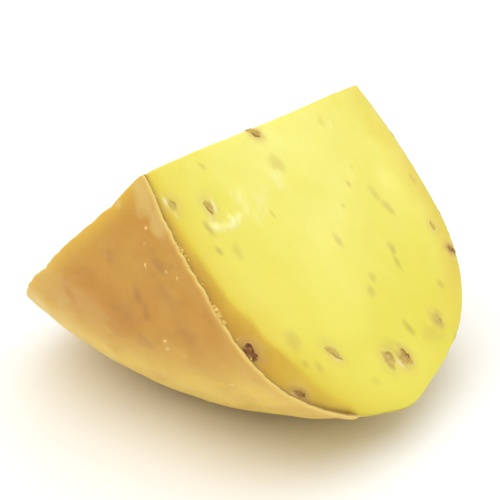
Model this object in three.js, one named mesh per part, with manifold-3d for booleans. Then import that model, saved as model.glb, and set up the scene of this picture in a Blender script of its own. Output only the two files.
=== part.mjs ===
// A wedge of walnut cheese, about 0.27 kg, cut from a small wheel.
//
// The wheel has two slightly sunken flat faces and a bulging rim, and a thin coat all round.
// Two knife cuts meet in a ridge that runs through the wheel from face to face, between its
// centre and its rim. The wedge rests on its rim with that ridge uppermost.
//
// Millimetres, +Z up. The origin is the middle of the patch that the rim rests on. The wheel's
// axis runs along Y, and the two knife cuts face +X and -X.

import * as THREE from 'three';
import { mergeVertices } from 'three/addons/utils/BufferGeometryUtils.js';
import Module from 'manifold-3d';

const wasm = await Module();
wasm.setup();

// The wheel
const WHEEL_RADIUS = 107;
const WHEEL_THICKNESS = 96;
const FLAT_RADIUS = 72;          // where the flat faces turn into the bulging rim
const FACE_SINK = 3;             // how far a flat face has sunk at the ridge
const RIM_SQUARED = 2.2;         // power of the rim's curve: 2 would be a true ellipse
const WHEEL_HOLE = 20;           // the wheel is turned as a ring, because its middle isn't used
const COAT = 0.8;                // thickness of the coat
const GAP = 0.3;                 // clearance between touching pieces

// The cuts
const OPENING = THREE.MathUtils.degToRad(84);   // angle between the two knife cuts
const RIDGE_OFFSET = 42.5;       // from the wheel's axis to the ridge
const REST_SAG = 0.5;            // how much the rim is flattened where it rests
const PASTE_SHRINK = 0.3;        // the drying paste draws back behind the coat's cut edge

// The knife bevel along the coat on the +X face: its crease, as distance down the face from
// the ridge and place along Y, and how steeply the paste falls away beyond it
const BEVEL_START = { down: 12, along: -46 };
const BEVEL_END = { down: 66, along: -29 };
const BEVEL_SLOPE = THREE.MathUtils.degToRad(9);

// Facets
const TURNS = 120;               // segments round the whole wheel
const RIM_STEPS = 30;            // segments across the rim
const FACE_STEPS = 5;            // segments across the sunken part of a flat face
const WALNUT_FACETS = 1;         // how finely a piece of walnut is divided

const HALF = OPENING / 2;
const RIDGE_HEIGHT = WHEEL_RADIUS - RIDGE_OFFSET - REST_SAG;
const AXIS_HEIGHT = RIDGE_HEIGHT + RIDGE_OFFSET;

// Pieces of walnut that a knife cut has opened: distance down the face from the ridge, place
// along Y, size of the piece, and how far it is turned in the face, in degrees. Those on the
// knife bevel lie `below` the face.
const PLUS_X_WALNUTS = [
  { down: 1.6, along: -5.2, length: 4.0, width: 2.6, turn: 50 },
  { down: 8.1, along: -42.1, length: 2.6, width: 1.8, turn: 20 },
  { down: 11.8, along: -32.4, length: 3.9, width: 2.0, turn: 10 },
  { down: 49.2, along: 41.5, length: 3.6, width: 2.3, turn: 52 },
  { down: 61, along: 19.6, length: 3.1, width: 2.4, turn: 20 },
  { down: 61, along: -5.6, length: 4.6, width: 3.2, turn: 20 },
  { down: 63.2, along: 0.3, length: 4.8, width: 3.4, turn: 64 },
  { down: 52, along: -22.1, length: 5.4, width: 2.2, turn: 31 },
  { down: 42.2, along: -44, length: 3.6, width: 2.8, turn: 30, below: 1.1 },
  { down: 54.7, along: -37, length: 3.2, width: 1.8, turn: 42, below: 0.7 },
  { down: 41.6, along: 40.1, length: 2.4, width: 1.8, turn: 0 },
];
const MINUS_X_WALNUTS = [
  { down: 14, along: 22, length: 4.0, width: 2.6, turn: 35 },
  { down: 20, along: -24, length: 3.0, width: 2.4, turn: 110 },
  { down: 33, along: 4, length: 5.4, width: 3.6, turn: 15 },
  { down: 38, along: -37, length: 2.6, width: 2.0, turn: 60 },
  { down: 47, along: 31, length: 4.4, width: 3.0, turn: 140 },
  { down: 56, along: -14, length: 4.8, width: 3.4, turn: 80 },
  { down: 62, along: 12, length: 3.2, width: 2.4, turn: 25 },
];
const WALNUT_DEPTH = 0.8;        // depth of a piece of walnut, as a share of its width
const WALNUT_SUNK = 0.15;        // how far its middle lies below the face, as a share of its width
const WALNUT_LUMP = 0.13;        // how knobbly it is, as a share of its radius

function toSolid(geometry) {
  const bare = geometry.clone();
  bare.deleteAttribute('normal');
  bare.deleteAttribute('uv');
  const merged = mergeVertices(bare, 1e-4);
  return new wasm.Manifold(new wasm.Mesh({
    numProp: 3,
    vertProperties: new Float32Array(merged.attributes.position.array),
    triVerts: new Uint32Array(merged.index.array),
  }));
}

function toGeometry(solid) {
  const mesh = solid.getMesh();
  const geometry = new THREE.BufferGeometry();
  geometry.setAttribute('position', new THREE.BufferAttribute(mesh.vertProperties, 3));
  geometry.setIndex(new THREE.BufferAttribute(mesh.triVerts, 1));
  geometry.computeVertexNormals();
  return geometry;
}

// Half the wheel's thickness at radius r inside the flat face. The face sinks with the square
// of the distance from the edge of the flat.
function halfThickness(r) {
  const inward = (FLAT_RADIUS - r) / (FLAT_RADIUS - RIDGE_OFFSET);
  return WHEEL_THICKNESS / 2 - FACE_SINK * inward ** 2;
}

// The wheel with its outside drawn in by `inset`. The rim is half a slightly squared ellipse.
function wheel(inset) {
  const face = [];
  for (let i = 0; i < FACE_STEPS; i++) {
    const r = THREE.MathUtils.lerp(RIDGE_OFFSET * 0.9, FLAT_RADIUS, i / FACE_STEPS);
    face.push(new THREE.Vector2(r, halfThickness(r) - inset));
  }
  const rim = [];
  for (let i = 0; i <= RIM_STEPS; i++) {
    const turn = Math.PI * (i / RIM_STEPS - 0.5);
    const out = Math.abs(Math.cos(turn)) ** (2 / RIM_SQUARED);
    const across = Math.sign(turn) * Math.abs(Math.sin(turn)) ** (2 / RIM_SQUARED);
    rim.push(new THREE.Vector2(
      FLAT_RADIUS + (WHEEL_RADIUS - inset - FLAT_RADIUS) * out,
      (WHEEL_THICKNESS / 2 - inset) * across,
    ));
  }
  const inner = new THREE.Vector2(WHEEL_HOLE, face[0].y);
  const profile = [
    new THREE.Vector2(inner.x, -inner.y),
    ...face.map((p) => new THREE.Vector2(p.x, -p.y)),
    ...rim,
    ...face.slice().reverse(),
    inner,
    new THREE.Vector2(inner.x, -inner.y),
  ];
  const geometry = new THREE.LatheGeometry(profile, TURNS);
  geometry.translate(0, 0, AXIS_HEIGHT);
  return toSolid(geometry);
}

// Everything between the two knife cuts and above the surface that the wedge rests on, with
// both cuts drawn in by `inset`
function betweenCuts(inset) {
  const top = RIDGE_HEIGHT - inset / Math.sin(HALF);
  const reach = top * Math.tan(HALF);
  const outline = new THREE.Shape([
    new THREE.Vector2(-reach, 0), new THREE.Vector2(reach, 0), new THREE.Vector2(0, top),
  ]);
  const depth = WHEEL_THICKNESS + 20;
  const geometry = new THREE.ExtrudeGeometry(outline, { depth, bevelEnabled: false });
  geometry.rotateX(Math.PI / 2);
  geometry.translate(0, depth / 2, 0);
  return toSolid(geometry);
}

// A frame on the +X cut: x runs down the face from the ridge, y along Y, z out of the face.
// The -X cut's frame is the same, turned half way round the vertical.
function faceFrame(side, down, along) {
  const downAxis = new THREE.Vector3(Math.sin(HALF), 0, -Math.cos(HALF));
  const outAxis = new THREE.Vector3(Math.cos(HALF), 0, Math.sin(HALF));
  const frame = new THREE.Matrix4().makeBasis(downAxis, new THREE.Vector3(0, 1, 0), outAxis);
  const top = new THREE.Vector3(0, 0, RIDGE_HEIGHT - PASTE_SHRINK / Math.sin(HALF));
  frame.setPosition(top.addScaledVector(downAxis, down).add(new THREE.Vector3(0, along * side, 0)));
  if (side < 0) frame.premultiply(new THREE.Matrix4().makeRotationZ(Math.PI));
  return frame;
}

// The slab that the knife bevel takes off. Its lower face passes through the crease and falls
// away towards -Y.
function bevelSlab() {
  const run = BEVEL_END.down - BEVEL_START.down;
  const rise = BEVEL_END.along - BEVEL_START.along;
  const size = { length: 120, width: 40, height: 20 };
  const geometry = new THREE.BoxGeometry(size.length, size.width, size.height);
  geometry.translate(size.length / 2 - 20, -size.width / 2, size.height / 2);
  geometry.rotateX(BEVEL_SLOPE);
  geometry.rotateZ(Math.atan2(rise, run));
  geometry.applyMatrix4(faceFrame(1, BEVEL_START.down, BEVEL_START.along));
  return toSolid(geometry);
}

// A knobbly lump of walnut under the face. `grow` makes it larger all round, for its pocket.
function walnutLump(side, { down, along, length, width, turn, below = 0 }, number, grow) {
  const geometry = new THREE.IcosahedronGeometry(1, WALNUT_FACETS);
  const position = geometry.attributes.position;
  const point = new THREE.Vector3();
  for (let i = 0; i < position.count; i++) {
    point.fromBufferAttribute(position, i);
    const lump = Math.sin(3.1 * point.x + 1.7 * number) * Math.sin(2.7 * point.y + 2.3 * number)
      + 0.6 * Math.sin(4.3 * point.z + 0.9 * number);
    point.multiplyScalar(1 + WALNUT_LUMP * lump);
    position.setXYZ(i, point.x, point.y, point.z);
  }
  const depth = width * WALNUT_DEPTH;
  geometry.scale(length / 2 + grow, width / 2 + grow, depth / 2 + grow);
  geometry.rotateZ(THREE.MathUtils.degToRad(turn));
  geometry.translate(0, 0, -width * WALNUT_SUNK - below);
  geometry.applyMatrix4(faceFrame(side, down, along));
  return toSolid(geometry);
}

const COLOURS = { paste: 0xf2e978, rind: 0xc8924a, walnut: 0x8a6238 };
const ROUGHNESS = { paste: 0.45, rind: 0.4, walnut: 0.7 };

function piece(name, finish, solid) {
  const material = new THREE.MeshStandardMaterial({
    color: COLOURS[finish], roughness: ROUGHNESS[finish], metalness: 0,
  });
  const mesh = new THREE.Mesh(toGeometry(solid), material);
  mesh.name = name;
  return mesh;
}

const wedge = new THREE.Group();

const rind = betweenCuts(0).intersect(wheel(0)).subtract(wheel(COAT));
wedge.add(piece('rind', 'rind', rind));

const paste = betweenCuts(PASTE_SHRINK).intersect(wheel(COAT + GAP)).subtract(bevelSlab());
const places = [
  ...PLUS_X_WALNUTS.map((place) => ({ side: 1, place })),
  ...MINUS_X_WALNUTS.map((place) => ({ side: -1, place })),
];
let pitted = paste;
places.forEach(({ side, place }, i) => {
  const number = i + 1;
  const walnut = walnutLump(side, place, number, 0).intersect(paste);
  pitted = pitted.subtract(walnutLump(side, place, number, GAP));
  wedge.add(piece(`walnut_${String(number).padStart(2, '0')}`, 'walnut', walnut));
});
wedge.add(piece('paste', 'paste', pitted));

export default wedge;
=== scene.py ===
"""A wedge of walnut cheese: paste, coat, pieces of walnut and crumbs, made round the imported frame.

The wedge was cut from a small wheel whose axis runs along Y. Two knife cuts meet in a ridge, and
the wedge rests on the wheel's rim. A place on a cut is given as `down`, the distance down the cut
from the ridge, and `along`, the place along Y. Everything is in metres.
"""

import math

import bmesh
import bpy
import numpy as np
from mathutils import Matrix, Vector


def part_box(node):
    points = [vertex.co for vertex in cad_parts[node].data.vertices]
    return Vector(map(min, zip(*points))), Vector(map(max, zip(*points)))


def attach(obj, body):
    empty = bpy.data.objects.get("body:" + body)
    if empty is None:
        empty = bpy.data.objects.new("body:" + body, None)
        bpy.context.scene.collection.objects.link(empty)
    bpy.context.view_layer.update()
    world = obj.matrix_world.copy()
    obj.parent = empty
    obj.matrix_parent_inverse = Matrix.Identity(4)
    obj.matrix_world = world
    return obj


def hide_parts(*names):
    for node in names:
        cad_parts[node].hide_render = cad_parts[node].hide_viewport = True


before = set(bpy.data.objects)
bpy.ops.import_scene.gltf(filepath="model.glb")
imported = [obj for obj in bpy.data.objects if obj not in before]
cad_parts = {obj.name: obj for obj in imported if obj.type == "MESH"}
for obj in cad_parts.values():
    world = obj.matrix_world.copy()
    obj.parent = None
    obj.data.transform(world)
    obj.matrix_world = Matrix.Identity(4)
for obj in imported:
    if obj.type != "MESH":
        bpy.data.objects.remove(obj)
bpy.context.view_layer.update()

MM = 0.001

# The wheel and the cuts
COAT_LOW, COAT_HIGH = (np.array(corner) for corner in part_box("rind"))
THICKNESS = COAT_HIGH[1] - COAT_LOW[1]      # of the wheel, face to face
RIDGE = COAT_HIGH[2]                        # height of the coat's tips, where the cuts meet
RADIUS = 107 * MM                           # of the wheel
FLAT_RADIUS = 72 * MM                       # where its flat faces turn into the rim
SQUARED = 2.2                               # power of the rim's squared ellipse
FACE_SINK = 3 * MM                          # how far a flat face has sunk at the ridge
RIDGE_OFFSET = 42.5 * MM                    # from the wheel's axis to the ridge
AXIS = RIDGE + RIDGE_OFFSET                 # height of the wheel's axis
HALF = math.radians(42)                     # half the angle between the cuts
SHRINK = 0.3 * MM                           # how far the paste has drawn back from the cuts
PASTE_OFFSET = RIDGE_OFFSET + SHRINK / math.sin(HALF)
COAT = 0.8 * MM                             # thickness of the coat on the near part
THIN_COAT = 0.25 * MM                       # thickness of the coat on the far part, worn thin
THIN_START, THIN_END = -27.5 * MM, -24.5 * MM   # the step between the two parts, along Y
SLIT = 0.12 * MM                            # between the coat and the paste
UNDER_COAT = THIN_COAT + SLIT               # from the wheel's outside to the paste, at least
WORN_TIP = 1.4 * MM                         # of the coat's far tip, from the ridge down
# How far the coat's near edges have pulled in at most, how far that place is from the ridge
# along the section, and how far the pull spreads
COAT_PULL, PULL_AT, PULL_SPREAD = 0.8 * MM, 11 * MM, 9 * MM
EDGE_STEPS = 7                              # in the mesh, from one surface of the coat to the other
# Low mounds and hollows in the wheel's outside: where, as radius and along, how wide and how
# far out, in mm
MOUNDS = [(107, -6, 9, 1.6), (103, 18, 5, -0.35), (57, 47, 14, 0.9), (97, -38, 13, -0.8)]
SWELL = 0.25 * MM                           # how far the cuts bulge between their edges

# The knife bevel along the coat on the +X cut. Its crease starts at CREASE_START along the
# ridge, and swings away by CREASE_SWING, as a power of the distance down, at CREASE_DOWN.
CREASE_START, CREASE_SWING, CREASE_DOWN = -43.6 * MM, 21 * MM, 68 * MM
CREASE_POWER = 2.8
BEVEL_SLOPE = math.tan(math.radians(11))

# Pieces of walnut that a cut has opened: down, along, length, width, in mm, turn in degrees,
# the side that keeps its dark skin, as an angle from the length, and how dark it is
PLUS_X_WALNUTS = [
    (1.2, -5.2, 3.8, 2.2, 50, -90, 0.8), (8.1, -42.1, 2.7, 1.8, 20, 75, 0.45),
    (11.8, -32.4, 3.9, 2.0, 10, -80, 0.55), (49.2, 42.2, 3.8, 2.3, 52, 0, 1.05),
    (61, 19.6, 3.1, 2.5, 20, 60, 0.35), (61, -5.8, 5.0, 4.2, 20, 95, 0.5),
    (63.0, 0.0, 5.0, 4.0, 64, 40, 0.85), (52, -22.1, 5.4, 2.0, 31, -75, 0.5),
    (42.3, -44.5, 4.6, 4.3, 30, 90, 1.3), (54.7, -37.3, 3.7, 1.1, 42, 0, 1.1),
    (41.6, 40.1, 2.6, 1.5, -5, -90, 0.3),
]
MINUS_X_WALNUTS = [
    (14, 22, 4.0, 2.6, 35, 80, 0.5), (20, -24, 3.0, 2.4, 110, 10, 0.7),
    (33, 4, 5.4, 3.6, 15, 200, 0.6), (38, -37, 2.6, 2.0, 60, 90, 0.4),
    (47, 31, 4.4, 3.0, 140, -60, 0.8), (56, -14, 4.8, 3.4, 80, 120, 0.5),
    (62, 12, 3.2, 2.4, 25, 30, 0.6),
]

# Walnut that lies just under a cut and shows through the paste, in the same terms, then how
# dark it shows
PLUS_X_BURIED = [
    (9.7, -4.1, 5.4, 4.2, 49, 0.5), (3.3, -27.4, 2.6, 1.4, 30, 0.5), (15.8, -36.1, 4.2, 1.8, 13, 0.9),
    (21, -37, 2.8, 1.7, 20, 0.8), (23, -32, 4.4, 3.0, 10, 0.4), (21.7, 17, 2.2, 1.7, 0, 0.9),
    (27, 25.2, 5.5, 2.6, 10, 0.55), (31.5, 27, 5.6, 3.0, 25, 0.65), (25.6, 10, 1.8, 1.5, 0, 0.5),
    (32, 1.3, 4.2, 2.6, 20, 0.55), (40.4, 18.7, 3.6, 3.0, 0, 0.8), (44, 17.5, 4.4, 2.0, 0, 0.7),
    (43.5, 5.2, 3.0, 2.4, 30, 0.55), (46, 1.9, 3.8, 3.0, 30, 0.55), (54.6, 28.9, 3.4, 2.4, 30, 0.6),
    (58.4, 7.7, 5.2, 2.4, 10, 0.8), (45, -31.7, 5.4, 4.6, 30, 0.5), (50.4, -32.2, 2.2, 1.8, 0, 0.6),
    (52.7, -28.8, 2.8, 2.2, 0, 0.5), (62.9, -14.3, 4.0, 2.0, 60, 0.3), (28.6, 44, 4.5, 1.6, 0, 0.6),
    (4.8, 21.3, 3.6, 2.4, 0, 0.35), (19.5, -14.5, 2.6, 1.2, 12, 0.5), (18.5, 22.5, 2.0, 1.2, 0, 0.4),
    (63, 15, 10, 5, 70, 0.3), (61, 19.6, 5.0, 4.4, 20, 0.9), (58.8, -2.5, 6, 4, 60, 0.35),
]
MINUS_X_BURIED = [
    (9, -8, 4.0, 3.0, 20, 0.5), (24, 30, 5.0, 2.4, 10, 0.7), (28, -14, 3.0, 2.2, 40, 0.6),
    (40, 18, 5.4, 2.8, 15, 0.7), (44, -26, 3.6, 2.4, 0, 0.6), (52, 6, 4.0, 3.2, 50, 0.5),
    (60, -2, 3.0, 2.0, 0, 0.6), (18, 4, 2.4, 1.6, 0, 0.5), (31, 38, 3.0, 1.6, 20, 0.6),
]
# Pale, freshly broken places in the paste beside walnut, and a few painted glints at the crease and in
# the smeared patch, in the same terms
PALE_FLAKES_AND_GLINTS = [
    (63.2, -2.9, 3.2, 1.8, 32, 1.0), (12.4, -30.9, 2.6, 1.0, -20, 0.8), (6.9, -43.3, 1.8, 0.8, -3, 1.0),
    (53.6, -22.4, 2.6, 0.9, 31, 0.7), (54.2, -38.6, 2.2, 0.8, 42, 0.5), (14.1, -34, 2.0, 1.4, -34, 0.6),
]
# Low ridges of soft paste that the knife dragged up: down, along, length, width, in mm, turn in
# degrees and height in mm
SMEARS = [
    (16.1, -34.0, 2.6, 1.5, 95, 0.14), (17.2, -32.0, 4.2, 1.5, 80, 0.09),
    (17.2, -28.7, 4.8, 2.2, 98, 0.14), (16.6, -25.9, 2.8, 1.8, 109, 0.12),
    (15.8, -28.4, 1.8, 1.1, -43, 0.10), (12.2, -31.0, 2.8, 1.0, -25, 0.11),
    (11.2, -23.8, 2.4, 1.3, -43, 0.05), (12.9, -22.1, 4.2, 1.6, -55, 0.08),
    (15.6, -21.9, 4.8, 1.6, -43, 0.06), (15.7, -16.0, 8.5, 3.6, -56, 0.05),
    (18.6, -20.3, 3.4, 2.4, -38, 0.04), (12.0, -5.2, 2.0, 0.9, 11, 0.12),
    (12.9, -7.0, 5.6, 3.6, 19, 0.07), (6.6, 24.2, 2.6, 1.4, 0, 0.05),
    (7.0, -43.3, 2.4, 0.8, -3, 0.12), (10.4, -42.7, 1.8, 0.6, 9, 0.06),
]
# A smear's crest is painted paler: partly smeared paste, partly a painted highlight
HIGH_SMEAR = 0.14                           # in mm: from this height on a smear is as pale as any

# Waves in the cuts, and in the outside of the coat: depth and size in mm, the seed of their
# random numbers, and for the cuts how much they are drawn out down the cut
CUT_WAVES = [(0.03, 8, 21, 1), (0.003, 2.6, 31, 0.12), (0.006, 1.6, 36, 1)]
COAT_WAVES = [(0.14, 18, 81), (0.05, 6, 82), (0.016, 2.2, 83)]

# Pockets and pieces of walnut as shares of the piece's width, and how far the halo and the
# stain round a piece reach, in mm
POCKET_DEPTH, WALNUT_DEPTH = 0.35, 0.42
HALO, STAIN = 1.9, 0.8


# ---------------------------------------------------------------- shapes as formulas


def smooth(value, low, high):
    """0 below `low`, 1 above `high`, and a smooth S between."""
    t = np.clip((value - low) / (high - low), 0, 1)
    return t * t * (3 - 2 * t)


def waves(points, size, seed):
    """Smooth random bumps about `size` across, with a spread of 1: the sum of plane waves in
    random directions, whose lengths lie near `size`."""
    count = 22
    random = np.random.default_rng(seed)
    direction = random.normal(size=(count, points.shape[-1]))
    direction /= np.linalg.norm(direction, axis=1, keepdims=True)
    turns = 2 * math.pi / (size * random.uniform(0.75, 1.6, (count, 1)))
    phase = random.uniform(0, 2 * math.pi, count)
    return np.cos(points @ (direction * turns).T + phase).sum(-1) / math.sqrt(count / 2)


def spots(down, along, places, wobble, edge):
    """The darkest of several soft ovals: each is 1 in its middle, and falls to 0 over the outer
    `edge` share of its radius. `wobble` makes the outlines uneven."""
    shade = np.zeros_like(down)
    for down_at, along_at, length, width, turn, depth in places:
        c, s = math.cos(math.radians(turn)), math.sin(math.radians(turn))
        x, y = down - down_at * MM, along - along_at * MM
        reach = np.hypot((x * c + y * s) / length, (y * c - x * s) / width) * 2 / MM
        reach = reach * (1 + 0.16 * wobble)
        shade = np.maximum(shade, depth * (1 - smooth(reach, 1 - edge, 1 + edge * 0.5)))
    return shade


def ring(down, offset):
    """Distance from the wheel's axis of a point `down` from the ridge on a cut: the third side
    of the triangle with the sides `offset` and `down`."""
    return np.sqrt(offset ** 2 + down ** 2 + 2 * offset * down * math.cos(HALF))


def longest(offset, inset):
    """How far down a cut the rim is: the `down` whose ring is the rim's radius less `inset`."""
    reach = (RADIUS - inset) ** 2 - (offset * math.sin(HALF)) ** 2
    return math.sqrt(reach) - offset * math.cos(HALF)


def half_thickness(radius, inset):
    """Half the wheel's thickness at a radius. The face sinks with the square of the distance
    from its edge, and the rim is half a slightly squared ellipse, whose terms are raised to
    the power SQUARED."""
    face = np.clip((FLAT_RADIUS - radius) / (FLAT_RADIUS - RIDGE_OFFSET), 0, None)
    rim = np.clip((radius - FLAT_RADIUS) / (RADIUS - inset - FLAT_RADIUS), 0, 1)
    edge = (1 - rim ** SQUARED) ** (1 / SQUARED)
    return (THICKNESS / 2 - inset) * edge - FACE_SINK * face ** 2


def section_slope(radius, along, inset):
    """The value of the rim's squared ellipse at a point of the wheel's section (1 on it), and
    how fast it grows with radius and with along."""
    a, b = RADIUS - inset - FLAT_RADIUS, THICKNESS / 2 - inset
    x, y = np.clip(radius - FLAT_RADIUS, 0, None) / a, np.abs(along) / b
    value = np.maximum((x ** SQUARED + y ** SQUARED) ** (1 / SQUARED), 1e-6)
    grow = value ** (1 - SQUARED)
    return value, grow * x ** (SQUARED - 1) / a, grow * y ** (SQUARED - 1) / b * np.sign(along)


def under_outside(radius, along, inset):
    """About how deep a point lies under the wheel's outside: straight down under a flat face,
    and by the squared ellipse's value over its slope under the rim."""
    value, by_radius, by_along = section_slope(radius, along, inset)
    under_rim = (1 - value) / np.maximum(np.hypot(by_radius, by_along), 1e-6)
    return np.where(radius > FLAT_RADIUS, under_rim, half_thickness(radius, inset) - np.abs(along))


def outward(radius, along):
    """The direction out of the wheel at a point of its section, as radius and along."""
    _, by_radius, by_along = section_slope(radius, along, 0)
    by_along = by_along + 1e-9 * np.where(along < 0, -1, 1)
    size = np.hypot(by_radius, by_along)
    return by_radius / size, by_along / size


def out_of_round(radius, along):
    """How far the wheel stands out from its squared ellipse where it was pressed on the shelf:
    low mounds, and hollows below 0, in the section's own terms."""
    push = np.zeros_like(radius + along)
    for radius_at, along_at, wide, size in MOUNDS:
        away = np.hypot(radius - radius_at * MM, along - along_at * MM) / (wide * MM)
        push += size * MM * np.exp(-away ** 2)
    return push


def far_part(along):
    """1 on the far part, where the coat is thin, 0 on the near part, with a short step
    between."""
    return smooth(along, THIN_START, THIN_END)


def moved_outline(radius, along):
    """How far the paste's real outline lies outside its plain one: out or in by the mounds
    and hollows, and in under the thick part of the coat."""
    return out_of_round(radius, along) - (COAT - THIN_COAT) * (1 - far_part(along))


def inside_outline(down, along):
    """How far a point of a cut lies inside the paste's real outline, and 0 beyond it."""
    radius = ring(down, PASTE_OFFSET)
    plain = under_outside(radius, along, UNDER_COAT)
    return np.clip(plain + moved_outline(radius, along), 0, None)


def pulled_in(run, at, spread):
    """How strongly the near edge has pulled in at a distance from the ridge: a bell curve that
    is 1 at `at` and falls off within `spread` on both sides."""
    return np.exp(-((run - at) / spread) ** 2)


def turn_of_cut(radius, offset):
    """The angle from straight down, round the wheel's axis, at which a cut crosses a ring, by
    the sine rule in the triangle of axis, ridge and crossing."""
    return HALF - np.arcsin(np.clip(offset * math.sin(HALF) / radius, -1, 1))


def on_wheel(radius, turn, along):
    """Points at a radius and an angle round the wheel's axis, counted from straight down."""
    return np.stack([radius * np.sin(turn), along + 0 * turn, AXIS - radius * np.cos(turn)], -1)


def on_cut(side, down, along, height):
    """Points on a cut, raised along its normal by `height`. Near the ridge the normal turns
    upright, so the two cuts share one rounded edge."""
    lean = smooth(down, -1.2 * MM, 1.2 * MM)
    normal = np.stack([lean * math.cos(HALF) * side, 0 * down, math.sin(HALF) + 0 * down], -1)
    normal /= np.linalg.norm(normal, axis=-1, keepdims=True)
    flat = np.stack([
        side * down * math.sin(HALF), along, AXIS - PASTE_OFFSET - down * math.cos(HALF),
    ], -1)
    return flat + normal * height[..., None]


def past_crease(down, along):
    """How far a point lies beyond the bevel's crease, towards the coat: its distance along Y,
    times the cosine of the crease's slant there."""
    share = np.clip(down, 0, None) / CREASE_DOWN
    crease = CREASE_START + CREASE_SWING * share ** CREASE_POWER
    slant = CREASE_SWING / CREASE_DOWN * CREASE_POWER * share ** (CREASE_POWER - 1)
    wander = 0.2 * MM * waves(np.stack([down, along], -1), 9 * MM, 41)
    return (crease - along) / np.hypot(1, slant) + wander


def soft_ramp(value, softness):
    """A ramp that starts at 0 with a rounded corner."""
    return softness * np.logaddexp(0, value / softness)


def cut_height(side, down, along):
    """How far the cut surface stands above its plane: a low swell, slow waves left by the
    knife, the drag lines that run down it, the edge drawn in beside the coat, the ridge worn
    low, and on +X the bevel and the smears."""
    place = np.stack([down, along], -1)
    under = inside_outline(down, along)
    height = SWELL + 0.16 * MM * waves(place, 34 * MM, 11 + side) * smooth(under, 0, 8 * MM)
    for depth, size, seed, drawn_out in CUT_WAVES:
        height += depth * MM * waves(place * (drawn_out, 1), size * MM, seed + side)
    pull = pulled_in(down, 14 * MM, 11 * MM)
    near_draw = 0.25 + 0.35 * smooth(down, 3 * MM, 16 * MM) + 0.45 * pull
    draw = (near_draw + (0.30 - near_draw) * smooth(along, -22 * MM, -2 * MM)) * MM
    height -= draw * np.exp(-under / (1.6 * MM))
    height -= 0.16 * MM * np.exp(-down / (0.8 * MM))
    if side > 0:
        height -= BEVEL_SLOPE * (1 + 0.7 * pull) * soft_ramp(past_crease(down, along), 0.45 * MM)
        height += smear_shapes(down, along)[0]
    return height


def smear_shapes(down, along):
    """The ridges of dragged paste: the height of them all, each a soft oval hump with a shallow
    dent on one side, and where their crests are, from 0 to 1."""
    height, crest = np.zeros_like(down), np.zeros_like(down)
    bend = 0.12 * waves(np.stack([down, along], -1), 3 * MM, 45)
    for down_at, along_at, length, width, turn, rise in SMEARS:
        c, s = math.cos(math.radians(turn)), math.sin(math.radians(turn))
        x, y = down - down_at * MM, along - along_at * MM
        lengthwise, across = (x * c + y * s) / (length * MM), (y * c - x * s) / (width * MM) + bend
        hump = np.exp(-(2 * lengthwise) ** 2 - (2 * across) ** 2)
        dent = np.exp(-(2 * lengthwise) ** 2 - (1.3 * (across - 0.9)) ** 2)
        height += rise * MM * (hump - 0.5 * dent)
        crest = np.maximum(crest, hump * min(rise / HIGH_SMEAR, 1))
    return height, crest


def walnut_outline(number, angle):
    """Radius of a piece of walnut's outline, as a share of an oval's: a few uneven lobes."""
    random = np.random.default_rng(500 + number)
    radius = np.ones_like(angle)
    for lobes, size in ((2, 0.08), (3, 0.15), (5, 0.10), (7, 0.06), (11, 0.03)):
        radius += size * np.cos(lobes * angle + random.uniform(0, 2 * math.pi))
    return radius


def walnut_places():
    """Every exposed piece of walnut, as its number, its side and its place."""
    sides = [(1, place) for place in PLUS_X_WALNUTS] + [(-1, place) for place in MINUS_X_WALNUTS]
    return [(i + 1, side, place) for i, (side, place) in enumerate(sides)]


def pocket_depth(side, down, along):
    """How far the paste is hollowed under the exposed pieces of walnut."""
    depth = np.zeros_like(down)
    for number, at, (down_at, along_at, length, width, turn, *_) in walnut_places():
        if at != side:
            continue
        c, s = math.cos(math.radians(turn)), math.sin(math.radians(turn))
        x, y = down - down_at * MM, along - along_at * MM
        x, y = (x * c + y * s) * 2 / (length * MM), (y * c - x * s) * 2 / (width * MM)
        reach = np.hypot(x, y) / walnut_outline(number, np.arctan2(y, x))
        depth = np.maximum(depth, POCKET_DEPTH * width * MM * (1 - smooth(reach, 0.35, 0.80)))
    return depth


# ---------------------------------------------------------------- meshes


def quads(rows, columns, start=0, round_rows=False):
    """The faces of a grid of points, numbered row by row from `start`. With `round_rows` each
    row closes on itself."""
    i, j = np.meshgrid(
        np.arange(rows - 1), np.arange(columns if round_rows else columns - 1), indexing="ij"
    )
    a, b = start + i * columns + j, start + i * columns + (j + 1) % columns
    return np.stack([a, b, b + columns, a + columns], -1).reshape(-1, 4)


def make_piece(name, points, faces, shades=None):
    """A closed mesh from points and faces. Points that meet at seams and poles become one, and
    the faces are turned outwards. `shades` are named values, one for each point."""
    mesh = bpy.data.meshes.new(name)
    mesh.from_pydata(points.tolist(), [], faces.tolist())
    for shade, values in (shades or {}).items():
        layer = mesh.attributes.new(shade, "FLOAT", "POINT")
        layer.data.foreach_set("value", np.asarray(values, np.float32).ravel())
    work = bmesh.new()
    work.from_mesh(mesh)
    bmesh.ops.remove_doubles(work, verts=work.verts, dist=2e-6)
    bmesh.ops.dissolve_degenerate(work, edges=work.edges, dist=1e-7)
    bmesh.ops.recalc_face_normals(work, faces=work.faces)
    work.to_mesh(mesh)
    work.free()
    mesh.polygons.foreach_set("use_smooth", np.ones(len(mesh.polygons), bool))
    mesh.update()
    piece = bpy.data.objects.new(name, mesh)
    bpy.context.scene.collection.objects.link(piece)
    return piece


def drawn_on_cut(down, along, fade):
    """Moves points of a cut with the paste's real outline. The move dies out `fade` inside the
    edge. A point's new ring gives its new `down`, by the cosine rule of ring() turned round."""
    radius = ring(down, PASTE_OFFSET)
    by_radius, by_along = outward(radius, along)
    move = moved_outline(radius, along)
    under = np.clip(under_outside(radius, along, UNDER_COAT), 0, None)
    move = move * np.exp(-(under / fade) ** 2) * smooth(down, -1 * MM, 1 * MM)
    radius = radius + move * by_radius
    reach = np.sqrt(radius ** 2 - (PASTE_OFFSET * math.sin(HALF)) ** 2)
    return np.maximum(reach - PASTE_OFFSET * math.cos(HALF), 0), along + move * by_along


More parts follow.
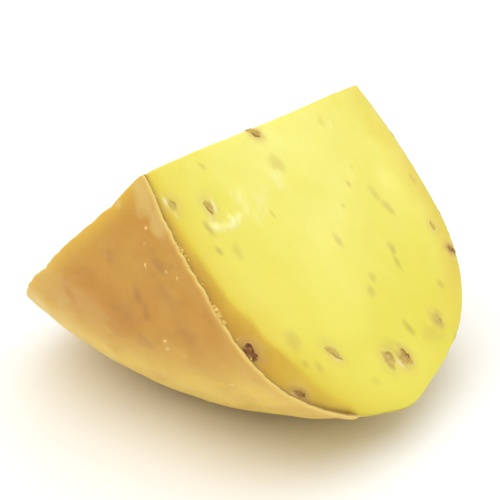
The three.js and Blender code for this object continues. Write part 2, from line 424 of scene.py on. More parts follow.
def paste_shades(plus, down, along):
    """What the paste's finish follows, point by point: how dried it is towards the coat, the bevel, which
    also carries painted shade, a painted sheen that makes the paste paler round the middle of the ridge,
    a painted shadow in the slit beside the near coat, and the marks of walnut and knife, among them
    painted glints and highlights."""
    place = np.stack([down, along], -1)
    wobble = waves(place, 2.4 * MM, 61)
    even = 0.35 * wobble
    buried = np.where(
        plus, spots(down, along, PLUS_X_BURIED, 0.6 * wobble, 0.75),
        spots(down, along, MINUS_X_BURIED, 0.6 * wobble, 0.75),
    )
    halo, stain = np.zeros_like(down), np.zeros_like(down)
    for _, at, (down_at, along_at, length, width, turn, _, dark) in walnut_places():
        here = plus == (at > 0)
        wide = (down_at, along_at, length + 2 * HALO, width + 2 * HALO, turn)
        close = (down_at, along_at, length + 2 * STAIN, width + 2 * STAIN, turn)
        paler, darker = 0.5 + 0.5 * min(dark, 1), float(smooth(dark, 0.4, 1.3))
        halo = np.maximum(halo, spots(down, along, [(*wide, paler)], even, 0.8) * here)
        stain = np.maximum(stain, spots(down, along, [(*close, darker)], even, 0.8) * here)
    under = inside_outline(down, along)
    past = past_crease(down, along)
    far = smooth(along, -14 * MM, 14 * MM)
    low = smooth(down, 36 * MM, 60 * MM)
    # the bevel's darker orange: partly drier paste, partly painted shade of the facet turned away from
    # the light
    bevel = 0.6 * smooth(past, -0.5 * MM, 1.4 * MM) + 0.4 * smooth(past, 0, 5 * MM)
    by_far_coat = 0.8 * smooth(-under, -12 * MM, -2 * MM) * (1 - 0.8 * smooth(down, 50 * MM, 66 * MM))
    by_far_coat *= 0.45 + 0.55 * smooth(down, 12 * MM, 32 * MM)
    by_near_coat = np.where(
        plus, 0.75 * np.exp(-np.clip(-past, 0, None) / (5.5 * MM)), smooth(-under, -8 * MM, -2 * MM)
    )
    return {
        "dried": by_near_coat * (1 - far) + by_far_coat * far,
        "bevel": np.where(plus, bevel * (1 - 0.4 * low), 0),
        # painted sheen: the paste paler round the middle of the ridge, on both cuts
        "painted_sheen": np.exp(-(down / (38 * MM)) ** 2 - ((along - 2 * MM) / (34 * MM)) ** 2),
        # pale broken paste, and a few painted glints
        "flake_and_glint": np.where(plus, spots(down, along, PALE_FLAKES_AND_GLINTS, wobble, 0.6), 0),
        "stain": stain,
        "buried": buried,
        "halo": halo,
        # painted shadow in the slit where the paste meets the near coat, stronger low down
        "slit_shadow": plus * (0.4 + 0.6 * low) * (1 - far_part(along)) * np.exp(-(under / (0.7 * MM)) ** 2),
        # the smears' crests: paler smeared paste with a painted highlight
        "smear": np.where(plus, smear_shapes(down, along)[1], 0),
    }


def make_paste():
    """The body of cheese. One sheet of rows runs down the +X cut from rim to ridge and down the
    -X cut to the rim; its rows end at the coat. The hidden outside, which closes it, is made of
    rings round the wheel's axis from one cut to the other."""
    rows, columns, arc = 200, 200, 20
    step = np.linspace(-1, 1, 2 * rows + 1)
    down_row = longest(PASTE_OFFSET, UNDER_COAT) * (1 - (1 - np.abs(step)) ** 1.5)
    wide_row = half_thickness(ring(down_row, PASTE_OFFSET), UNDER_COAT)
    across = np.linspace(-1, 1, columns + 1)
    down = np.repeat(down_row[:, None], columns + 1, 1)
    along = wide_row[:, None] * across[None, :]
    ridge = np.abs(step) < 1e-9
    down, along = drawn_on_cut(down, along, 4 * MM)
    down[ridge] = 0
    plus = np.repeat((step >= 0)[:, None], columns + 1, 1)
    height = np.where(plus, cut_height(1, down, along), cut_height(-1, down, along))
    height[ridge] = 0.5 * (cut_height(1, down, along) + cut_height(-1, down, along))[ridge]
    pocket = np.where(plus, pocket_depth(1, down, along), pocket_depth(-1, down, along))
    side = np.where(plus, 1.0, -1.0)
    side[ridge] = 0
    cuts = on_cut(side, down, along, height - pocket)

    # the outside, ring by ring from the near end of the ridge, round the rim, to the far end
    near, far = cuts[:, 0], cuts[:, -1]
    edge_plus = np.concatenate([near[rows:], far[rows:][::-1][1:]])
    edge_minus = np.concatenate([near[:rows + 1][::-1], far[:rows + 1][1:]])
    down_edge = np.concatenate([down_row[rows:], down_row[rows:][::-1][1:]])
    sign = np.concatenate([-np.ones(rows + 1), np.ones(rows)])
    radius = ring(down_edge, PASTE_OFFSET)
    along_edge = sign * half_thickness(radius, UNDER_COAT)
    by_radius, by_along = outward(radius, along_edge)
    move = moved_outline(radius, along_edge)
    share = np.linspace(1, -1, arc + 1)
    turn = turn_of_cut(radius, PASTE_OFFSET)[:, None] * share[None, :]
    middle = on_wheel(
        (radius + move * by_radius)[:, None], turn, (along_edge + move * by_along)[:, None]
    )
    pull = np.clip(1 - np.arange(arc + 1) / 3, 0, 1)[None, :, None]
    outside = middle + pull * (edge_plus[:, None] - middle[:, :1])
    outside += pull[:, ::-1] * (edge_minus[:, None] - middle[:, -1:])
    outside[..., 2] = np.maximum(outside[..., 2], UNDER_COAT)

    points = np.concatenate([cuts.reshape(-1, 3), outside.reshape(-1, 3)])
    faces = np.concatenate([
        quads(2 * rows + 1, columns + 1), quads(2 * rows + 1, arc + 1, cuts[..., 0].size),
    ])
    hidden = outside[..., 0].size
    shades = {
        name: np.concatenate([value.ravel(), np.full(hidden, 1.0 if name == "dried" else 0.0)])
        for name, value in paste_shades(plus, down, along).items()
    }
    return make_piece("cheese_paste", points, faces, shades)


def coat_profile(inset, thick):
    """The wheel's section, drawn in by `inset`, from the near end of the ridge over the rim to
    the far end, as radii and places along Y: a sunken face, half a squared ellipse, a sunken
    face. On the near part it is drawn in by `thick` more."""
    face = np.linspace(RIDGE_OFFSET, FLAT_RADIUS, 55)[:-1]
    turn = np.linspace(-math.pi / 2, math.pi / 2, 241)
    curve = np.abs([np.cos(turn), np.sin(turn)]) ** (2 / SQUARED)
    rim_radius = FLAT_RADIUS + (RADIUS - inset - FLAT_RADIUS) * curve[0]
    rim_along = (THICKNESS / 2 - inset) * curve[1] * np.sign(turn)
    side = half_thickness(face, inset)
    far_face = np.linspace(FLAT_RADIUS, RIDGE_OFFSET + WORN_TIP, 55)[1:]
    radius = np.concatenate([face, rim_radius, far_face])
    along = np.concatenate([-side, rim_along, half_thickness(far_face, inset)])
    by_radius, by_along = outward(radius, along)
    move = -thick * (1 - far_part(along))
    return radius + move * by_radius, along + move * by_along


def across_coat(first, last, steps):
    """Angles from one edge of the coat to the other: `steps` shares of the way, less a sine of
    the share, so that they lie closer together near the edges."""
    share = np.linspace(0, 1, steps + 1)
    share = share - 0.12 * np.sin(2 * math.pi * share)
    return first * (1 - share) - last * share


def coat_edge(from_points, to_points, side, stand):
    """The points of a cut edge between the coat's two surfaces, bowed out along the cut's
    normal by `stand`: less the fourth power of the distance from the middle, which makes a flat
    edge with rounded corners."""
    share = np.linspace(0, 1, EDGE_STEPS + 1)[1:-1]
    bow = (1 - np.abs(2 * share - 1) ** 4)[None, :, None] * stand[:, None, None]
    line = from_points[:, None] * (1 - share[:, None]) + to_points[:, None] * share[:, None]
    return line + bow * np.array((side * math.cos(HALF), 0, math.sin(HALF)))


def make_coat():
    """The coat: a closed loop of points carried along the wheel's section. The loop runs over
    the outside from the +X cut to the -X cut, round that cut edge, back over the inside, and
    round the +X cut edge."""
    over, back = 120, 36
    radius_out, along_out = coat_profile(0, 0)
    radius_in, along_in = coat_profile(THIN_COAT, COAT - THIN_COAT)
    by_radius, by_along = outward(radius_out, along_out)
    count = len(radius_out)
    run = np.concatenate([[0], np.cumsum(np.hypot(np.diff(radius_out), np.diff(along_out)))])
    run_line = np.stack([run, 0 * run], -1)
    ends = smooth(run, 0, 4 * MM) * smooth(run[-1] - run, 0, 4 * MM)
    worn = smooth(run[-1] - run, 0, 3 * MM)         # narrows the coat to its worn far tip
    far = far_part(along_out)
    low = smooth(radius_out, 62 * MM, 92 * MM) * (1 - far)      # low on the near part

    # how far each edge of the coat has been torn or cut back, along the section
    ragged_plus = 0.07 * MM * waves(run_line, 5 * MM, 71) + 0.08 * MM * waves(run_line, 1.4 * MM, 72)
    pull = COAT_PULL * pulled_in(run, PULL_AT, PULL_SPREAD)
    ragged_plus = ragged_plus + 0.8 * MM * far + pull
    ragged_minus = 0.08 * MM * waves(run_line, 12 * MM, 73) + 0.05 * MM * waves(run_line, 3 * MM, 74)
    ragged_minus = ragged_minus + 0.8 * pull
    for at, wide, deep in ((9.5, 2.4, 0.35), (32, 1.6, 0.4)):
        ragged_minus = ragged_minus + deep * MM * np.exp(-((run - at * MM) / (wide * MM / 2)) ** 2)

    def layer(radius, along, steps, lift, reach):
        """One side of the coat. It bulges with the mounds and lifts from the paste at the +X
        cut by `lift`, which dies out away from the cut; the edges stay in the cuts' planes.
        Also the distances from the two edges."""
        bulge = out_of_round(radius, along)
        at_plus, at_minus = radius + (bulge + lift) * by_radius, radius + bulge * by_radius
        plus = (turn_of_cut(at_plus, RIDGE_OFFSET) - ends * ragged_plus / at_plus) * worn
        minus = (turn_of_cut(at_minus, RIDGE_OFFSET) - ends * ragged_minus / at_minus) * worn
        turn = across_coat(np.clip(plus, 0, None)[:, None], np.clip(minus, 0, None)[:, None], steps)
        from_plus = (turn[:, :1] - turn) * radius[:, None]
        from_minus = (turn - turn[:, -1:]) * radius[:, None]
        push = lift[:, None] * np.exp(-(from_plus / reach[:, None]) ** 2) + bulge[:, None]
        return push, turn, from_plus, from_minus

    lift = (0.10 + 0.55 * low) * MM * (1 - far)
    reach = (1.8 + 3.2 * low) * MM
    push, turn, from_plus, from_minus = layer(radius_out, along_out, over, lift, reach)
    flat = on_wheel(radius_out[:, None], turn, along_out[:, None])
    inner = smooth(np.minimum(from_plus, from_minus), 0, 3 * MM)
    bumps = sum(depth * MM * waves(flat, size * MM, seed) for depth, size, seed in COAT_WAVES)
    bumps *= (1 - 0.75 * far)[:, None]              # the thin coat keeps to the paste
    groove = -0.14 * MM * (1 - far)[:, None] * np.exp(-((from_plus - 4.4 * MM) / (1.8 * MM)) ** 2)
    round_off = -0.10 * MM * np.exp(-from_plus / (0.22 * MM))
    round_off -= 0.3 * MM * np.exp(-from_minus / (0.6 * MM))
    push = push + bumps * inner + (groove + round_off) * ends[:, None]
    outside = on_wheel(
        radius_out[:, None] + push * by_radius[:, None], turn,
        along_out[:, None] + push * by_along[:, None],
    )
    push, turn, *_ = layer(radius_in, along_in, back, 0.35 * lift, reach)
    inside = on_wheel(
        radius_in[:, None] + push * by_radius[:, None], turn,
        along_in[:, None] + push * by_along[:, None],
    )
    inside[..., 2] = np.maximum(inside[..., 2], SLIT)

    stand = (0.14 + 0.04 * waves(run_line, 4 * MM, 75)) * MM * ends
    minus_edge = coat_edge(outside[:, -1], inside[:, -1], -1, stand)
    plus_edge = coat_edge(inside[:, 0], outside[:, 0], 1, stand)
    loop = np.concatenate([outside, minus_edge, inside[:, ::-1], plus_edge], 1)
    loop[..., 2] = np.maximum(loop[..., 2], 0)
    loop[..., 2] -= 0.5 * MM * np.exp(-(RIDGE - loop[..., 2]) / (0.8 * MM))     # worn round

    # what the finish follows, on the outside, the -X edge, the inside and the +X edge in turn
    blank = [0 * minus_edge[..., 0], 0 * inside[..., 0], 0 * plus_edge[..., 0]]
    near, thin = (1 - far)[:, None], far[:, None]
    # painted light: the coat paler yellow where the rim curves round, lit by the floor and the white room
    painted_rim_light = smooth(np.repeat(radius_out[:, None], over + 1, 1), 74 * MM, 92 * MM)
    lip = 0.6 * near * np.exp(-(from_plus / (0.32 * MM)) ** 2)
    near_lip = near * np.exp(-(from_plus / ((0.9 + 3.1 * low)[:, None] * MM)) ** 2)
    gold = np.exp(-(from_minus / (3.4 * MM)) ** 1.5)
    thin_by_cut = thin * np.exp(-from_plus / (10 * MM))
    # painted shadow across the +X cut edge, darkest at the inside beside the slit
    shadow = near * np.linspace(1.4, -1, EDGE_STEPS - 1)
    shades = {
        "lip": [lip, blank[0] + 0.5, blank[1], blank[2] + near],
        "near_lip": [near_lip, *blank],
        "gold": [gold, blank[0] + 1, blank[1], blank[2]],
        "painted_rim_light": [painted_rim_light, *blank],
        # under: painted shade on the coat's inside and painted shadow on the +X cut edge
        "under": [0 * painted_rim_light, blank[0], blank[1] + near, blank[2] + shadow],
        "thin": [thin_by_cut, blank[0], blank[1], blank[2] + thin],
    }
    shades = {name: np.concatenate(parts, 1) for name, parts in shades.items()}
    shades.update(coat_marks(loop))
    points = loop.reshape(-1, 3)
    return make_piece("cheese_coat", points, quads(count, loop.shape[1], round_rows=True), shades)


# Marks on the near face of the coat: place along X and down from the ridge, length, width, in
# mm, turn in degrees, and strength
PALE_PATCHES = [
    (1.0, 4.6, 10, 5.5, 60, 1.0), (5.2, 8.8, 8, 5, 60, 0.8), (0.5, 2.5, 4, 2.2, 20, 0.9),
    (-5.6, 7.6, 3.0, 1.6, 45, 1.0), (-3, 1.6, 4, 2.5, 40, 0.7), (-23, 30, 15, 9, 48, 0.4),
    (-12, 33, 16, 7, 40, 0.3),
]
DARK_SMUDGES = [
    (6.6, 17.6, 6, 3, 30, 0.7), (-6.1, 19.2, 5, 2, 70, 0.45), (1.8, 25.7, 4.2, 2.2, 70, 0.9),
    (4.0, 29.5, 3.6, 1.8, 80, 0.9), (3.4, 36.5, 6, 3.4, 20, 0.5), (9, 24, 7, 4, 30, 0.4),
    (-1, 31, 9, 5, 30, 0.4), (14, 31, 8, 4, 50, 0.35), (-12, 25, 8, 4, 20, 0.3),
]
PALE_SPECKS = [
    (2.5, 10.9, 0.7, 0.6, 0, 1), (3.2, 18.6, 0.9, 0.6, 60, 1), (8.7, 18.7, 0.9, 0.5, 0, 0.9),
    (8.6, 34.5, 1.0, 0.6, 30, 1), (9.2, 36.2, 0.9, 0.7, 0, 1), (24, 40.8, 1.4, 0.5, 10, 0.9),
    (13, 36.6, 0.7, 0.5, 0, 0.6), (2.6, 14.0, 0.6, 0.4, 0, 0.5), (11.4, 19.2, 0.5, 0.4, 0, 0.6),
]


def coat_marks(loop):
    """The coat's pale patches, dark smudges and pale specks: soft ovals on the near face, and
    a few more of the same kinds on the far face, found by turning the wedge half way round."""
    x, down = loop[..., 0], RIDGE - loop[..., 2]
    near = smooth(-loop[..., 1], 38 * MM, 43 * MM)
    far = smooth(loop[..., 1], 38 * MM, 43 * MM)
    wobble = waves(loop, 2.6 * MM, 91)
    marks = {}
    for name, places, softness, uneven in (
        ("pale", PALE_PATCHES, 0.6, 0.8), ("smudge", DARK_SMUDGES, 1.0, 1.2),
        ("speck", PALE_SPECKS, 0.5, 1.0),
    ):
        marks[name] = (
            near * spots(x, down, places, wobble * uneven, softness)
            + far * spots(-x, down, places, wobble * uneven, softness)
        )
    return marks


def make_walnut(number, side, place):
    """A cut piece of walnut. Going from the middle of its top out to its outline and in again
    underneath, the top lies flush with the cut, with shallow folds, and the underside is half
    an oval bowl. Its skin is dark along one side and in the folds."""
    down_at, along_at, length, width, turn, skin_side, how_dark = place
    rings, spokes = 52, 84
    out = np.linspace(0, 1, rings)[:, None]
    angle = np.linspace(0, 2 * math.pi, spokes, endpoint=False)[None, :]
    top = out <= 0.5
    reach = np.sin(math.pi * out) + 0 * angle
    outline = walnut_outline(number, angle) * reach
    x, y = outline * np.cos(angle) * length / 2 * MM, outline * np.sin(angle) * width / 2 * MM
    c, s = math.cos(math.radians(turn)), math.sin(math.radians(turn))
    down, along = down_at * MM + x * c - y * s, along_at * MM + x * s + y * c
    place_here = np.stack([x, y], -1)
    fold = waves(place_here, 2.4 * MM, 600 + number)
    fold_line = np.exp(-(fold / 0.16) ** 2) * smooth(1 - reach, 0.05, 0.3)
    folds = (0.04 * waves(place_here, 1.1 * MM, 650 + number) - 0.08 * fold_line) * MM
    folds = folds * smooth(1 - reach, 0, 0.25) + 0.05 * MM - 0.25 * MM * smooth(reach, 0.86, 1.04)
    bowl = -WALNUT_DEPTH * width * MM * np.sqrt(np.clip(1 - reach ** 2, 0, 1))
    height = cut_height(side, np.clip(down, 0, None), along) + np.where(top, folds, bowl)
    points = on_cut(np.where(down > 0, side, -side), np.abs(down), along, height)
    lean = np.cos(angle - math.radians(skin_side))
    uneven = 0.25 * waves(place_here, 1.2 * MM, 680 + number)
    crescent = smooth(reach * lean + 0.35 * uneven, 0.12, 0.70)
    all_over = 0.9 * float(smooth(how_dark, 0.75, 1.3)) * (1 + uneven)
    skin = np.maximum(all_over, how_dark * (crescent + 0.3 * fold_line))
    fade = 0.75 * smooth(reach, 0.5, 1.0) * (1 - crescent) * (1 - 0.7 * float(smooth(how_dark, 0.9, 1.3)))
    skin, fade = np.where(top, skin, 1.0), np.where(top, fade, 0.0)
    shades = {"skin": np.clip(skin, 0, 1.3), "fade": fade, "brown": 0 * skin + min(how_dark, 1)}
    return make_piece(
        f"walnut_piece_{number:02d}", points.reshape(-1, 3),
        quads(rings, spokes, round_rows=True), shades,
    )


def make_crumbs():
    """Crumbs that the knife left on the coat's cut edge, most of them in two clusters: balls
    made lumpy by waves and stretched at random, all in one mesh."""
    random = np.random.default_rng(7)
    rings, spokes = 9, 12
    polar = np.linspace(0, math.pi, rings)[:, None]
    angle = np.linspace(0, 2 * math.pi, spokes, endpoint=False)[None, :]
    ball = np.stack([
        np.sin(polar) * np.cos(angle), np.sin(polar) * np.sin(angle), np.cos(polar) + 0 * angle,
    ], -1).reshape(-1, 3)
    upper, lower, strewn = 9, 12, 10
    down = np.concatenate([
        random.normal(17.6, 1.0, upper), random.normal(33.4, 1.2, lower),
        random.uniform(20, 40, strewn), random.uniform(5, 60, strewn),
    ]) * MM
    radius = ring(down, PASTE_OFFSET)
    along = random.uniform(0.1, 1.0, down.size) * MM - half_thickness(radius, 0)
    coarse = np.repeat([1, 1.6, 1], [upper, lower, 2 * strewn])
    size = random.uniform(0.10, 0.32, down.size) * MM * coarse
    pull = COAT_PULL * pulled_in(radius - RIDGE_OFFSET, PULL_AT, PULL_SPREAD)
    height = SHRINK + 0.12 * MM - pull + 0.2 * size
    middle = on_cut(1.0, down, along, height)
    points = []
    for i, centre in enumerate(middle):
        lump = 1 + 0.22 * waves(ball + i, 1.3, 700 + i)
        stretch = random.uniform(0.7, 1.25, 3)
        points.append(centre + ball * lump[:, None] * stretch * size[i])
    faces = np.concatenate([
        quads(rings, spokes, i * rings * spokes, round_rows=True) for i in range(down.size)
    ])
    return make_piece("cheese_crumbs", np.concatenate(points), faces)


# ---------------------------------------------------------------- finishes


def linear(code):
    """An sRGB hex colour as linear light, with full alpha."""
    values = [int(code[i:i + 2], 16) / 255 for i in (1, 3, 5)]
    return [v / 12.92 if v <= 0.04045 else ((v + 0.055) / 1.055) ** 2.4 for v in values] + [1.0]


def add(tree, kind, settings=None, **inputs):
    """Adds a node. `settings` are its own properties; the other arguments are its inputs, by
    name with _ for a space, or by number as i0, i1: an output is linked and a value is set."""
    new = tree.nodes.new(kind)
    for key, value in (settings or {}).items():
        setattr(new, key, value)
    for key, value in inputs.items():
        numbered = key[0] == "i" and key[1:].isdigit()
        socket = new.inputs[int(key[1:]) if numbered else key.replace("_", " ")]
        if isinstance(value, bpy.types.NodeSocket):
            tree.links.new(value, socket)
        else:
            socket.default_value = value
    return new


def start_material(name):
    """An empty material, and its node tree."""
    material = bpy.data.materials.new(name)
    material.use_nodes = True
    material.node_tree.nodes.clear()
    return material, material.node_tree


def finish_material(tree, **inputs):
    """Ends a material: a Principled shader with these inputs, and the output."""
    shader = add(tree, "ShaderNodeBsdfPrincipled", **inputs)
    add(tree, "ShaderNodeOutputMaterial", Surface=shader.outputs["BSDF"])


def pattern(tree, size, spread=None, to=(0.0, 1.0), detail=3, rough=0.55, distortion=0.0, stretch=None):
    """Patches about `size` metres across, from noise on Object coordinates, squeezed by
    `stretch` along the axes. A smooth step over `spread`, a part of the noise's values, turns
    them into values between the two in `to`."""
    place = add(tree, "ShaderNodeTexCoord").outputs["Object"]
    if stretch:
        place = add(tree, "ShaderNodeMapping", i0=place, Scale=stretch).outputs[0]
    patches = add(
        tree, "ShaderNodeTexNoise", Vector=place, Scale=1 / size, Detail=detail,
        Roughness=rough, Distortion=distortion,
    ).outputs["Fac"]
    if spread:
        patches = add(
            tree, "ShaderNodeMapRange", {"interpolation_type": "SMOOTHSTEP"}, Value=patches,
            From_Min=spread[0], From_Max=spread[1], To_Min=to[0], To_Max=to[1],
        ).outputs["Result"]
    return patches


def share_of(tree, *factors):
    """The product of some factors: a name is a value that the mesh carries for each point, and
    the others are numbers or the outputs of nodes."""
    product = None
    for factor in factors:
        if isinstance(factor, str):
            factor = add(tree, "ShaderNodeAttribute", {"attribute_name": factor}).outputs["Fac"]
        if product is not None:
            both = {"i0": product, "i1": factor}
            factor = add(tree, "ShaderNodeMath", {"operation": "MULTIPLY"}, **both).outputs[0]
        product = factor
    return product


def lay_over(tree, colour, *layers):
    """Lays colours one over another. A layer is some factors, whose product says how much of it
    shows, and then its colour. A colour is sRGB hex or the output of a node."""
    for *factors, over in layers:
        below, above = (linear(c) if isinstance(c, str) else c for c in (colour, over))
        share = share_of(tree, *factors)
        mix = add(tree, "ShaderNodeMix", {"data_type": "RGBA"}, i0=share, i6=below, i7=above)
        colour = mix.outputs[2]
    return colour


def relief(tree, *layers):
    """Fine bumps, one layer on another. A layer is the bumps' size and depth in metres, and the
    other settings of their pattern."""
    below = {}
    for size, depth, settings in layers:
        height = pattern(tree, size, **settings)
        bumps = add(tree, "ShaderNodeBump", Height=height, Distance=depth, Strength=1.0, **below)
        below = {"Normal": bumps.outputs["Normal"]}
    return below["Normal"]


def cut_cheese():
    """Semi-hard cheese, pressed from curd and cut with a wide knife: a dense, translucent, pale yellow
    paste with a film of fat on the cut, golden where it has dried beside the coat. Some light and shade
    is painted in: a paler sheen round the middle of the ridge, shade on the bevel, a dark shadow in the
    slit at the coat, and pale highlights and glints on the smears."""
    material, tree = start_material("semi_hard_cheese_cut")
    cloud = pattern(tree, 34 * MM, (0.38, 0.62), detail=2)
    old = lay_over(tree, "#E6DA40", (cloud, "#EBE150"))
    # the same paste painted paler, for the painted sheen
    sheen_yellow = lay_over(tree, "#F0EA6E", (cloud, "#F4EE82"))
    curd = pattern(tree, 5 * MM, (0.3, 0.75), rough=0.6, distortion=0.4)
    drying = pattern(tree, 12 * MM, (0.3, 0.7), (0.75, 1.0))
    patchy = pattern(tree, 7 * MM, (0.3, 0.7), rough=0.6)
    # darker orange for the bevel: partly drier paste, partly painted shade
    bevel = lay_over(tree, "#D3A035", (patchy, "#C68C32"))
    grain = pattern(tree, 2.2 * MM, (0.25, 0.7), (0.75, 1.0), rough=0.6)
    colour = lay_over(
        tree, old,
        # painted sheen round the middle of the ridge
        ("painted_sheen", sheen_yellow),
        (curd, 0.10, "#E0D04A"),
        ("dried", drying, "#DDC032"),
        # bevel: drier paste with painted shade
        ("bevel", 0.9, bevel),
        ("halo", 0.6, "#DBBE66"),
        # painted shadow in the slit beside the coat
        ("slit_shadow", 0.8, "#96701E"),
        ("stain", 0.7, "#AC7840"),
        ("buried", grain, 0.8, "#BFA848"),
        # pale broken paste and painted glints
        ("flake_and_glint", 0.85, "#F2D894"),
        # smear crests: paler paste and painted highlight
        ("smear", 0.62, "#F9F3BC"),
    )
    fat = pattern(tree, 9 * MM, (0.35, 0.65), (0.36, 0.46), rough=0.6)
    smear = share_of(tree, "smear")
    rough = add(tree, "ShaderNodeMix", {"data_type": "FLOAT"}, i0=smear, i2=fat, i3=0.18)
    finish_material(
        tree, Base_Color=colour, Roughness=rough.outputs[0], IOR=1.46,
        Subsurface_Weight=0.35, Subsurface_Radius=(1.0, 0.75, 0.25), Subsurface_Scale=1.6 * MM,
        Normal=relief(
            tree, (5 * MM, 0.06 * MM, {}),
            (1.6 * MM, 0.005 * MM, {"distortion": 0.3, "stretch": (1, 0.8, 0.25)}),
            (0.6 * MM, 0.008 * MM, {"detail": 2}),
        ),
    )
    return material


def cheese_coating():
    """Cheese coating: a brushed-on film, dried and aged, orange-brown and slightly translucent over the
    paste, so that it looks cloudy; paler where it has come away at the cut edge. Painted light makes it
    paler yellow over the rim, and painted shade darkens its inside and the inner part of the +X cut edge."""
    material, tree = start_material("brushed_cheese_coating")
    cloud = pattern(tree, 30 * MM, (0.35, 0.66), rough=0.5, distortion=0.4)
    mottle = pattern(tree, 8 * MM, (0.36, 0.7), rough=0.5, distortion=0.5)
    fine = pattern(tree, 1.8 * MM, (0.45, 0.75), rough=0.6)
    uneven = pattern(tree, 10 * MM, (0.25, 0.6), (0.6, 1.0), rough=0.5)
    colour = lay_over(
        tree, "#C6892C",
        (cloud, "#CC983A"),
        (mottle, 0.25, "#B4762C"),
        (fine, 0.12, "#D4A850"),
        # painted light over the rim
        ("painted_rim_light", uneven, "#EBCB60"),
        ("gold", 0.8, "#E2B83E"),
        ("near_lip", 0.5, "#DAB154"),
        ("smudge", 0.6, "#A16C38"),
        ("pale", 0.7, "#E0C06C"),
        ("speck", "#F0D58E"),
        ("lip", 0.9, "#EACF72"),
        # painted shade on the inside and the +X cut edge
        ("under", "#98741E"),
        ("thin", 0.85, "#E0CB55"),
    )
    finish_material(
        tree, Base_Color=colour, IOR=1.48,
        Roughness=pattern(tree, 4 * MM, (0.3, 0.7), (0.36, 0.52), detail=4),
        Subsurface_Weight=0.25, Subsurface_Radius=(1.0, 0.55, 0.2), Subsurface_Scale=1.0 * MM,
        Normal=relief(
            tree, (3.6 * MM, 0.10 * MM, {"detail": 4, "rough": 0.6}), (0.7 * MM, 0.02 * MM, {}),
        ),
    )
    return material


def dry_crumb():
    """Crumbs that the knife rubbed off paste and coating together, dried: matt and golden."""
    material, tree = start_material("dried_cheese_crumb")
    tone = pattern(tree, 0.8 * MM, (0.35, 0.65))
    finish_material(
        tree, Base_Color=lay_over(tree, "#D9A94C", (tone, "#EBCB70")), Roughness=0.6, IOR=1.46,
        Normal=relief(tree, (0.3 * MM, 0.02 * MM, {"detail": 2})),
    )
    return material


def walnut_kernel():
    """Walnut kernel cut through by a knife: tan, oily and close-grained inside, with a thin
    dark skin that shows along one side and in its folds."""
    material, tree = start_material("walnut_kernel_cut")
    grain = pattern(tree, 1.4 * MM, (0.35, 0.65))
    pale_kernel = lay_over(tree, "#CFB958", (grain, "#DAC668"))
    brown_kernel = lay_over(tree, "#B28A3C", (grain, "#C49C4C"))
    thin_skin = lay_over(tree, "#8E7C30", ("brown", "#85501E"))
    speckle = pattern(tree, 0.9 * MM, (0.3, 0.7), (0.8, 1.1), rough=0.6)
    skin = share_of(tree, "skin", speckle)
    colour = lay_over(tree, pale_kernel, ("brown", brown_kernel))
    for low, high, skin_colour in ((0.0, 1.0, thin_skin), (0.85, 1.3, "#66301C")):
        shows = add(
            tree, "ShaderNodeMapRange", {"interpolation_type": "SMOOTHSTEP"}, Value=skin,
            From_Min=low, From_Max=high,
        ).outputs["Result"]
        colour = lay_over(tree, colour, (shows, skin_colour))
    finish_material(
        tree, Base_Color=lay_over(tree, colour, ("fade", "#DCC95E")), Roughness=0.58, IOR=1.44,
        Subsurface_Weight=0.15, Subsurface_Radius=(1.0, 0.6, 0.3), Subsurface_Scale=0.8 * MM,
        Normal=relief(tree, (0.7 * MM, 0.04 * MM, {})),
    )
    return material


def painted_board():
    """The surface that the wedge rests on: a board, rolled with matt white paint, which leaves
    it a little cloudy."""
    material, tree = start_material("matt_white_board")
    tone = pattern(tree, 120 * MM, (0.3, 0.7), detail=2)
    colour = lay_over(tree, "#F6F6F4", (tone, "#FAFAF8"))
    finish_material(tree, Base_Color=colour, Roughness=0.7, IOR=1.45)
    return material


# ---------------------------------------------------------------- the scene


def put_together():
    """Makes every piece, and ties it to the frame."""
    cheese, coating, kernel = cut_cheese(), cheese_coating(), walnut_kernel()
    paste = make_paste()
    coat = make_coat()
    crumbs = make_crumbs()
    for piece, material, slot, nodes in (
        (paste, cheese, "paste", ["paste"]),
        (coat, coating, "rind", ["rind"]),
        (crumbs, dry_crumb(), "paste", []),
    ):
        finish_piece(piece, material, nodes)
    for number, side, place in walnut_places():
        piece = make_walnut(number, side, place)
        finish_piece(piece, kernel, [f"walnut_{number:02d}"])


def finish_piece(piece, material, nodes):
    """Gives a piece its material, ties it to the root, and hides the parts of its nodes."""
    piece.data.materials.append(material)
    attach(piece, "root")
    if nodes:
        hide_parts(*nodes)


def lay_floor():
    """A wide flat board at the height that the wedge rests on."""
    reach = 6.0
    corners = [(-reach, -reach, 0), (reach, -reach, 0), (reach, reach, 0), (-reach, reach, 0)]
    mesh = bpy.data.meshes.new("floor")
    mesh.from_pydata(corners, [], [(0, 1, 2, 3)])
    mesh.materials.append(painted_board())
    floor = bpy.data.objects.new("floor", mesh)
    bpy.context.scene.collection.objects.link(floor)


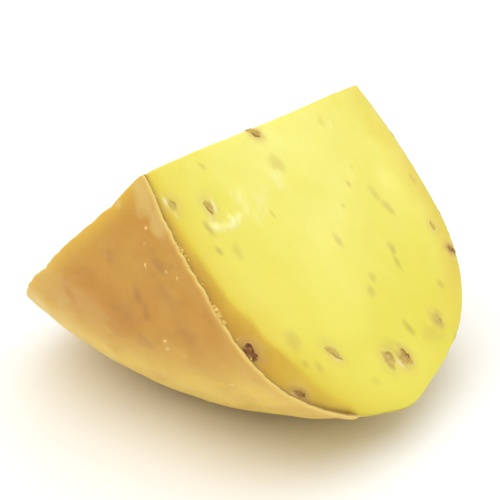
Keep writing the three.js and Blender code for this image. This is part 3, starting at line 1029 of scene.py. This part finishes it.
def add_softbox(name, toward, distance, size, power, aim, tint=(1, 1, 1)):
    """A square soft light, `distance` from `aim` in the direction `toward`, facing it."""
    light = bpy.data.lights.new(name, "AREA")
    light.shape = "SQUARE"
    light.size = size
    light.energy = power
    light.color = tint
    lamp = bpy.data.objects.new(name, light)
    direction = Vector(toward).normalized()
    lamp.location = Vector(aim) + direction * distance
    lamp.rotation_euler = direction.to_track_quat("Z", "Y").to_euler()
    lamp.visible_camera = False
    bpy.context.scene.collection.objects.link(lamp)


def light_scene():
    """Plain soft studio light: a white room, a large box overhead, and one behind."""
    scene = bpy.context.scene
    world = bpy.data.worlds.new("studio")
    world.use_nodes = True
    background = world.node_tree.nodes["Background"]
    background.inputs["Color"].default_value = (1, 1, 1, 1)
    background.inputs["Strength"].default_value = 0.62
    scene.world = world
    aim = (0, 0, 0.03)
    add_softbox("overhead", (-0.1, -0.25, 1.0), 1.5, 2.4, 24, aim)
    add_softbox("behind", (0.34, 0.84, 0.46), 0.9, 0.35, 0.7, aim)
    scene.view_settings.view_transform = "Standard"


def place_camera():
    """A camera at the height and side from which the ridge and one flat face show, turned a
    little about its own axis."""
    azimuth, elevation, roll = math.radians(32.06), math.radians(23.82), math.radians(3.40)
    target, distance = Vector((0.3, -2.9, 32.7)) * MM, 284 * MM
    back = Vector((
        math.sin(azimuth) * math.cos(elevation), -math.cos(azimuth) * math.cos(elevation),
        math.sin(elevation),
    ))
    right = Vector((math.cos(azimuth), math.sin(azimuth), 0))
    up = back.cross(right)
    across = right * math.cos(roll) + up * math.sin(roll)
    upward = up * math.cos(roll) - right * math.sin(roll)
    lens = bpy.data.cameras.new("camera")
    lens.sensor_width = 36
    lens.lens = 85.2
    lens.clip_start = 0.01
    camera = bpy.data.objects.new("camera", lens)
    spot = target + back * distance
    turn = Matrix((across, upward, back)).transposed()
    camera.matrix_world = Matrix.Translation(spot) @ turn.to_4x4()
    bpy.context.scene.collection.objects.link(camera)
    bpy.context.scene.camera = camera


place_camera()
put_together()
lay_floor()
light_scene()
